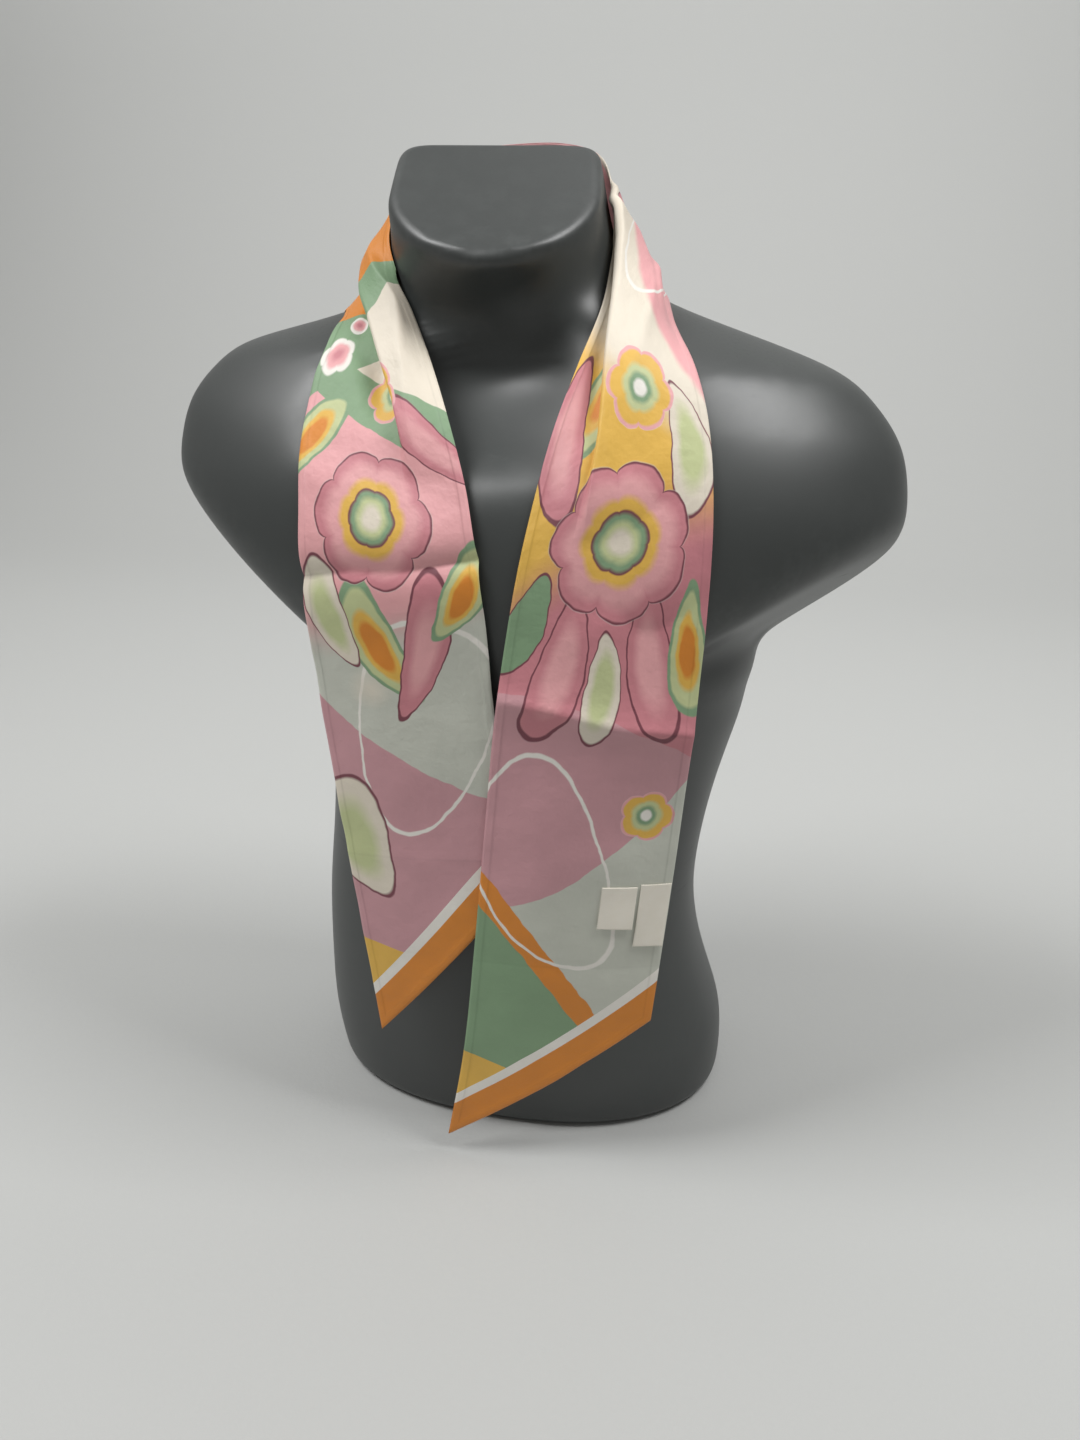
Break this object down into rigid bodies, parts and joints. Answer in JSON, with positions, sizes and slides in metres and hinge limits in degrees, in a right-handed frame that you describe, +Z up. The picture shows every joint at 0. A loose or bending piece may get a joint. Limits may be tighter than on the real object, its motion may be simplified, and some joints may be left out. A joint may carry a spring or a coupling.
{
  "type": "skinny silk scarf on a limbless bust form",
  "caption": "Long narrow silk scarf with slanted ends, worn open round the neck of a smooth limbless bust form so that its ends hang down in front.",
  "frame": {"origin": "centre of the bust form's flat base, on the surface that it stands on", "axes": "+Z up the form, -Y out of its front, +X to the right of someone who looks at its front"},
  "size_m": [0.5082, 0.2608, 0.6802],
  "materials": {
    "form_plastic": "smooth satin charcoal grey, moulded, with a soft broad highlight",
    "scarf_silk": "printed silk twill in pink, mauve, sage, cream, yellow and orange, two layers pressed flat, soft sheen",
    "label_woven": "cream woven tape, matt, bare"
  },
  "bodies": {
    "root": {"bust_form": "form_plastic", "scarf_left_front": "scarf_silk", "scarf_left_neck": "scarf_silk", "scarf_nape": "scarf_silk", "scarf_right_neck": "scarf_silk", "scarf_right_front": "scarf_silk", "label_long": "label_woven", "label_small": "label_woven"}
  },
  "joints": []
}
